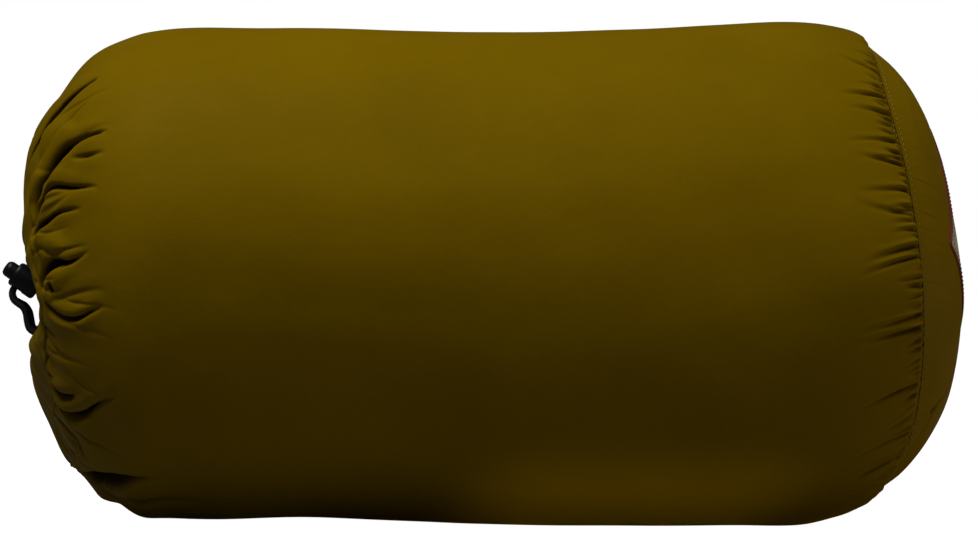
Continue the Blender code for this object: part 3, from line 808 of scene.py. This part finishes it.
def make_base(cloth, depths, mat):
    middle = cloth.points[-1].mean(axis=0)
    verts = np.vstack([cloth.points.reshape(-1, 3), [middle]])
    faces = grid_faces(len(cloth.rows), COLUMNS, flip=True)
    last = (len(cloth.rows) - 1) * COLUMNS
    faces += [[last + (k + 1) % COLUMNS, last + k, len(verts) - 1] for k in range(COLUMNS)]
    obj = add_mesh("sack_base_cloth", verts, faces, mat)
    # The cloth's colour is darkened by this painted shade
    set_painted_shade(obj, np.append(depths.ravel(), 0.0))
    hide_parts("base_panel")


def make_contents(mat):
    """The sleeping bag that fills the sack: a lumpy bundle just inside the cloth."""
    outline = [
        (-0.16, 0.0005), (-0.1605, 0.027), (-0.177, 0.04), (-0.185, 0.051),
        (-0.185, 0.06), (-0.178, 0.072), (-0.164, 0.082), (-0.144, 0.091),
        (-0.115, 0.099), (0.0000, 0.106), (0.09, 0.107), (0.14, 0.104),
        (0.155, 0.096), (0.17, 0.08), (0.183, 0.056), (0.193, 0.028),
        (0.196, 0.0005)]
    curve = even(catmull(outline, 12), 0.004)
    columns = 160
    _, phi = np.meshgrid(curve[:, 0], angles_round(columns), indexing="ij")
    r = np.repeat(curve[:, 1:2], columns, axis=1)
    plain = np.stack([np.repeat(curve[:, 0:1], columns, axis=1), r * np.cos(phi),
                      r * np.sin(phi)], axis=-1)
    out = -0.003 - 0.003 * np.abs(noise_field(plain, 0.035, 9))
    x, radius = off_outline(curve, out)
    radius = np.maximum(radius, 0.0004)
    y = -radius * np.cos(phi)
    z = axis_height(x) + 0.001 + radius * np.sin(phi)
    points = np.stack([x, y, np.maximum(z, 0.004)], axis=-1)
    faces = grid_faces(len(curve), columns, flip=True) + end_faces(len(curve), columns, flip=True)
    obj = add_mesh("packed_sleeping_bag", points, faces, mat)
    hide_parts("packed_contents")


def make_seam_stitching(body, base, mat):
    """Two rows of lockstitches round the base seam, one on each side of it."""
    phi = np.linspace(-math.pi, math.pi, 2401)
    s = np.full_like(phi, body.rows[-1] - 0.0016)
    obj = stitch_line("base_seam_stitches", body, s, phi, SEAM_PITCH, 0.002, mat, closed=True,
                      out=0.0003, radius=0.00019)
    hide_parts("base_seam_stitching")
    s = np.full_like(phi, 0.0013)
    edge = stitch_line("base_edge_stitches", base, s, phi, SEAM_PITCH, 0.0016, mat, closed=True,
                       out=0.0, radius=0.00015)


def make_hem_stitching(body, mat):
    phi = np.linspace(-math.pi, math.pi, 1201)
    s = np.full_like(phi, 0.0014)
    obj = stitch_line("hem_stitches", body, s, phi, 0.0026, 0.0018, mat, closed=True)
    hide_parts("channel_stitching")


def make_side_seam(body, fabric, thread):
    """The felled seam at the back: a flat fold of cloth with two rows of stitches."""
    s = np.linspace(0.01, body.rows[-1] - 0.0006, 460)
    radius = np.interp(s, body.rows, np.linalg.norm(body.points[..., 1:] - [0, AXIS_Z], axis=2)
                       .mean(axis=1))
    across = np.array([-1.0, -0.98, -0.86, -0.5, 0.0, 0.5, 0.86, 0.98, 1.0])
    lifts = np.array([-0.0002, 0.0003, 0.00055, 0.0006, 0.00062, 0.0006, 0.00055, 0.0003, -0.0002])
    half = SIDE_SEAM_HALF * np.clip(radius / 0.08, 0.25, 1.0)
    grid_s = np.repeat(s[:, None], len(across), axis=1)
    grid_phi = SIDE_SEAM_PHI + (half / radius)[:, None] * across
    points, _ = body.place(grid_s, grid_phi, lifts)
    faces = grid_faces(len(s), len(across), wrap=False, flip=True)
    strip = add_mesh("side_seam_fell", points, faces, fabric)
    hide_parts("side_seam_strip")
    for n, side in ((1, -0.7), (2, 0.7)):
        phi = SIDE_SEAM_PHI + side * half / radius
        row = stitch_line(f"side_seam_stitches_{n}", body, s[4:-3], phi[4:-3], 0.0031, 0.0021,
                          thread, out=0.00062)
        if n == 1:
            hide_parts("side_seam_stitching")


def make_binding(body, mat):
    """The tape that binds the raw edges of the base seam, inside the sack."""
    columns = 240
    phi = np.linspace(-math.pi, math.pi, columns, endpoint=False)
    section = [(0.0006, -0.0042), (0.0085, -0.0046), (0.0088, -0.0052), (0.0085, -0.0058),
               (0.0006, -0.0054), (0.0003, -0.0048)]
    wave = 0.0003 * np.sin(phi * 60)
    rings = []
    for from_seam, out in section:
        ring, _ = body.place(np.full_like(phi, body.rows[-1] - from_seam), phi, out + wave)
        rings.append(ring)
    verts = np.array(rings).reshape(-1, 3)
    faces = [[k % len(verts) for k in face] for face in grid_faces(len(section) + 1, columns)]
    obj = add_mesh("base_seam_tape", verts, faces, mat)
    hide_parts("base_seam_binding")


# Cords and what is on them


def frames_along(path):
    """Two side directions along the path, without twist."""
    tangents = np.gradient(path, axis=0)
    tangents /= np.linalg.norm(tangents, axis=1, keepdims=True)
    side = np.cross(tangents[0], [0.3, 0.9, 0.2])
    sides = []
    for tangent in tangents:
        side = side - tangent * (side @ tangent)
        side /= np.linalg.norm(side)
        sides.append(side)
    sides = np.array(sides)
    return sides, np.cross(tangents, sides)


def ridged_tube(name, path, mat, height, radius, sides=24, closed=False, body="sack"):
    """A tube along the path whose surface rises by height(length along, angle), from 0 to 1."""
    side, up = frames_along(path)
    along = lengths_along(path)[:, None]
    angle = np.arange(sides)[None, :] * math.tau / sides
    r = radius * (0.86 + 0.14 * height(along, angle))
    points = path[:, None, :] + r[..., None] * (side[:, None, :] * np.cos(angle)[..., None]
                                                + up[:, None, :] * np.sin(angle)[..., None])
    faces = grid_faces(len(path), sides)
    last = (len(path) - 1) * sides
    if closed:
        faces += [[last + k, last + (k + 1) % sides, (k + 1) % sides, k] for k in range(sides)]
    else:
        faces += end_faces(len(path), sides)
    return add_mesh(name, points, faces, mat, body)


def braid(along, angle):
    """Strands that cross in a diamond lattice, eight each way."""
    turn = along * math.tau / 0.0105
    one = np.abs(np.sin(4 * (angle + turn)))
    two = np.abs(np.sin(4 * (angle - turn)))
    return one ** 0.6 * 0.55 + two ** 0.6 * 0.45


def wraps(pitch):
    """Thread wound round a core, one turn every pitch."""
    def height(along, angle):
        return np.abs(np.sin(math.pi * along / pitch + 0.5 * angle)) ** 0.7
    return height


def coil_path(side):
    """The tail of one strand: turns beside each other in the mouth, then in to the end knot."""
    steps = COIL_TURNS * 24 + 6
    points = []
    for k in range(steps + 1):
        turn = k / 24
        lane = min(turn, COIL_TURNS) + (0.0 if side > 0 else 3.0)
        lane = math.floor(lane) + float(smoothstep((lane % 1.0 - 0.75) / 0.25))
        lane_angle = math.radians(60 * lane + 30)
        angle = math.pi / 2 + math.tau * turn
        inward = math.tau * max(0.0, turn - COIL_TURNS)
        r = (COIL_R + 0.0031 * math.cos(lane_angle)) * math.cos(inward)
        x = COIL_X + 0.0031 * math.sin(lane_angle)
        points.append((x, r * math.cos(angle), MOUTH_Z + r * math.sin(angle)))
    return points


def strand_path(side):
    """One strand: from just inside the hem, through the lock, back into the mouth and coiled."""
    half = CORD_PAIR_HALF * side
    inner = [(EXIT_X + d * math.sqrt(0.5), half, EXIT_Z + d * math.sqrt(0.5))
             for d in (0.024, 0.016, 0.008)]
    route = np.array(CORD_PAIR_ROUTE)
    run = np.gradient(route, axis=0)
    run /= np.linalg.norm(run, axis=1, keepdims=True)
    away = np.arange(len(route)) - CORD_TWIST_AT
    twist = CORD_TWIST * np.exp(-(away / 3.0) ** 2)
    outer = np.stack([route[:, 0] - run[:, 1] * half * np.sin(twist), half * np.cos(twist),
                      route[:, 1] + run[:, 0] * half * np.sin(twist)], axis=1)
    return even(catmull(inner + outer.tolist() + coil_path(side)[3:], 10), CORD_STEP)


def hold_tail(obj, path, sides=24):
    """Past its lowest point a strand follows the lock less and less, so its coil stays put."""
    layer = obj.data.attributes["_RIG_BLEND"].data
    weights = np.empty(len(layer), np.float32)
    layer.foreach_get("value", weights)
    keep = smoothstep((-0.19 - path[:, 0]) / 0.019)
    keep[:np.argmin(path[:len(path) // 4, 2])] = 1.0
    layer.foreach_set("value", (weights * np.repeat(keep, sides)).astype(np.float32))


def make_cords(mat):
    """The two strands, and the stretch of cord inside the hem."""
    for name, side, node in (("drawcord_near", -1, "drawcord"),
                             ("drawcord_far", 1, "drawcord_tail_coil")):
        path = strand_path(side)
        obj = ridged_tube(name, path, mat, braid, CORD_D / 2, body=None)
        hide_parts(node)
        middle = Vector((EXIT_X, 0, EXIT_Z))
        start, end = middle - 0.02 * Vector(SLIDE_AXIS), middle - 0.002 * Vector(SLIDE_AXIS)
        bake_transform(obj, "sack", "cord_lock", start=tuple(start), end=tuple(end))
        hold_tail(obj, path)
    first = math.radians(20)
    ring = []
    for k in range(49):
        angle = first + (math.tau - 2 * first) * k / 48
        ring.append((CHANNEL_CORD_X, -CHANNEL_CORD_R * math.sin(angle),
                     MOUTH_Z + CHANNEL_CORD_R * math.cos(angle)))
    ring = even(catmull(ring, 8), CORD_STEP)
    inside = ridged_tube("drawcord_in_hem", ring, mat, braid, CORD_D / 2)


def make_buttonhole(mat):
    """Satin stitches round the hole that both strands leave through."""
    ring = []
    for k in range(64):
        angle = math.tau * k / 64
        side = 0.0024 if math.cos(angle) > 0 else -0.0024
        ring.append((-0.2036 - 0.0003 * math.sin(angle), side + 0.0026 * math.cos(angle),
                     EXIT_Z + 0.0024 * math.sin(angle)))
    loop = even(np.array(ring + ring[:1]), 0.00012)[:-1]
    obj = ridged_tube("cord_exit_buttonhole", loop, mat, wraps(0.00055), 0.0006, sides=12,
                      closed=True)
    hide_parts("exit_buttonhole")


# The base label


def on_base(base, u, v, out):
    """Points of the turned label at u and v from its middle, on the base cloth or out of it."""
    y = LABEL_Y + u * math.cos(LABEL_TURN) - v * math.sin(LABEL_TURN)
    z = LABEL_Z + u * math.sin(LABEL_TURN) + v * math.cos(LABEL_TURN)
    rim = SEAM_RING_R
    t = np.zeros_like(y)
    for _ in range(12):
        centre = SEAM_CENTRE_Z - BASE_SAG * (1 - t * t)
        t = np.hypot(y, z - centre) / rim
    phi = np.arctan2(z - centre, -y)
    return base.place(rim * (1 - t), phi, out)


def make_label(base, woven, border_mat, thread):
    """A blank woven patch with an overlocked border, sewn on the base."""
    half_y, half_z = LABEL_SIZE[0] / 2, LABEL_SIZE[1] / 2
    nu, nv = 61, 25
    v, u = np.meshgrid(np.linspace(-1, 1, nv), np.linspace(-1, 1, nu))
    edge = np.minimum(half_y * (1 - np.abs(u)), half_z * (1 - np.abs(v)))
    out = -0.0002 + 0.0009 * smoothstep(edge / 0.0006)
    points, _ = on_base(base, u * half_y, v * half_z, out)
    faces = grid_faces(nu, nv, wrap=False, flip=True)
    patch = add_mesh("base_label_patch", points, faces, woven)
    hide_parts("base_label")

    def around(inset, corner, count=480):
        """A rectangle with round corners, inset from the label's edge."""
        hy, hz = half_y - inset, half_z - inset
        corners = []
        for quarter, (sy, sz) in enumerate(((1, 1), (-1, 1), (-1, -1), (1, -1))):
            for k in range(7):
                angle = math.radians(90 * quarter + 15 * k)
                corners.append((sy * (hy - corner) + corner * math.cos(angle),
                                sz * (hz - corner) + corner * math.sin(angle)))
        loop = np.array(corners + corners[:1])
        return at_lengths(loop, np.linspace(0, lengths_along(loop)[-1], count))

    line = around(0.0003, 0.002, 1600)
    rim_line, _ = on_base(base, line[:, 0], line[:, 1], 0.0002)
    border = ridged_tube("base_label_border", even(rim_line, 0.00016)[:-1], border_mat,
                         wraps(0.00065), 0.00075, sides=10, closed=True)

    line = around(0.0024, 0.001)
    sewn, normals = on_base(base, line[:, 0], line[:, 1], 0.00075)
    along = lengths_along(sewn)
    begin = np.arange(0, along[-1] - 0.002, 0.0026)
    starts, ends = at_lengths(sewn, begin), at_lengths(sewn, begin + 0.0018)
    facing = at_lengths(np.hstack([sewn, normals]), begin)[:, 3:]
    sewing = stitches("base_label_stitches", starts, ends, facing, thread, 0.0002)
    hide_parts("base_label_stitching")


# The stage


def seen_or_not(tree, seen, unseen):
    """One value for what the camera sees and another for what lights the sack."""
    path = tree.nodes.new("ShaderNodeLightPath")
    value = add_node(tree, "ShaderNodeMapRange")
    set_inputs(value, {"To Min": unseen, "To Max": seen})
    tree.links.new(path.outputs["Is Camera Ray"], value.inputs["Value"])
    return value.outputs["Result"]


def aim(obj, place, target):
    """Adds a light or the camera to the scene, facing its target."""
    obj.location = place
    obj.rotation_euler = (Vector(target) - Vector(place)).to_track_quat("-Z", "Y").to_euler()
    bpy.context.scene.collection.objects.link(obj)


def make_stage():
    """A floor, a white surround, soft lights and the camera."""
    scene = bpy.context.scene
    scene.view_settings.view_transform = "Standard"

    world = bpy.data.worlds.new("studio")
    scene.world = world
    world.use_nodes = True
    tree = world.node_tree
    background = tree.nodes["Background"]
    tree.links.new(seen_or_not(tree, 1.0, 0.03), background.inputs["Strength"])
    background.inputs["Color"].default_value = (1, 1, 1, 1)

    size = 4.0
    floor_mat, tree, shader = node_material("floor")
    set_inputs(shader, {"Base Color": (0.23, 0.23, 0.23, 1), "Roughness": 0.9,
                        "Specular IOR Level": 0.0, "Emission Color": (1, 1, 1, 1)})
    tree.links.new(seen_or_not(tree, 1.0, 0.0), shader.inputs["Emission Strength"])
    corners = [(-size, -size, 0), (size, -size, 0), (size, size, 0), (-size, size, 0)]
    floor = add_mesh("floor", corners, [(0, 1, 2, 3)], floor_mat, body=None)

    def soft_light(name, place, target, size, power, colour=(1, 1, 1), spread=180):
        light = bpy.data.lights.new(name, "AREA")
        light.shape = "RECTANGLE"
        light.size, light.size_y = size
        light.energy = power
        light.color = colour
        light.spread = math.radians(spread)
        aim(bpy.data.objects.new(name, light), place, target)

    warm = (1.0, 0.86, 0.45)
    soft_light("key", (-0.34, -0.42, 1.28), (0, 0, 0.1), (0.9, 0.6), 17.8)
    soft_light("front_low", (0.02, -0.45, 0.045), (0.02, 0, 0.045), (0.1, 0.05), 0.06, warm)
    soft_light("right", (1.1, -0.2, 0.012), (0.2, 0, 0.05), (0.3, 0.02), 2.4, warm)
    soft_light("under", (0.055, -0.6, 0.014), (0.055, 0, 0.012), (0.14, 0.02), 0.006, warm, 7)

    camera = bpy.data.cameras.new("camera")
    camera.sensor_width = SENSOR
    camera.lens = CAMERA_LENS
    obj = bpy.data.objects.new("camera", camera)
    yaw, pitch = math.radians(CAMERA_YAW), math.radians(CAMERA_PITCH)
    target = Vector(CAMERA_TARGET)
    back = Vector((-math.sin(yaw) * math.cos(pitch), -math.cos(yaw) * math.cos(pitch),
                   math.sin(pitch)))
    aim(obj, target + CAMERA_DISTANCE * back, target)
    scene.camera = obj


def finish_cad_materials(materials):
    """Gives each CAD node that still shows its finished material."""
    for name, mat in materials.items():
        mesh = bpy.data.objects[name].data
        mesh.materials.clear()
        mesh.materials.append(mat)


def main():
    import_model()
    make_stage()

    nylon = cloth_material("nylon_mustard", *MUSTARD)
    base_nylon = cloth_material("nylon_base", *MUSTARD)
    hem_nylon = cloth_material("nylon_hem", *MUSTARD_DOUBLED)
    seam_nylon = cloth_material("nylon_seam", *MUSTARD_DOUBLED)
    filling = cloth_material("filling_taffeta", (0.035, 0.035, 0.04), (0.06, 0.06, 0.066))
    tape = thread_material("binding_tape", (0.012, 0.012, 0.012), (0.03, 0.03, 0.03))
    thread = thread_material("sewing_thread", (0.17, 0.108, 0.018), (0.25, 0.165, 0.036))
    cord = thread_material("cord_braid", (0.004, 0.004, 0.004), (0.014, 0.014, 0.014))
    label = thread_material("label_weave", (0.3, 0.3, 0.29), (0.48, 0.48, 0.46))
    border = thread_material("label_border", (0.1, 0.012, 0.01), (0.18, 0.022, 0.018))
    plastic = plastic_material("lock_plastic", (0.003, 0.003, 0.0034), (0.0048, 0.0048, 0.00544))
    steel = steel_material()

    body, crease_shades = body_cloth()
    base, pinch_shades = base_cloth()
    make_body(body, crease_shades, nylon)
    make_hem(hem_nylon)
    make_base(base, pinch_shades, base_nylon)
    make_contents(filling)
    make_seam_stitching(body, base, thread)
    make_hem_stitching(body, thread)
    make_side_seam(body, seam_nylon, thread)
    make_binding(body, tape)
    make_cords(cord)
    make_buttonhole(thread)
    make_label(base, label, border, thread)
    finish_cad_materials({"drawcord_end_knot": cord, "lock_barrel": plastic,
                          "lock_button": plastic, "lock_spring": steel})


main()
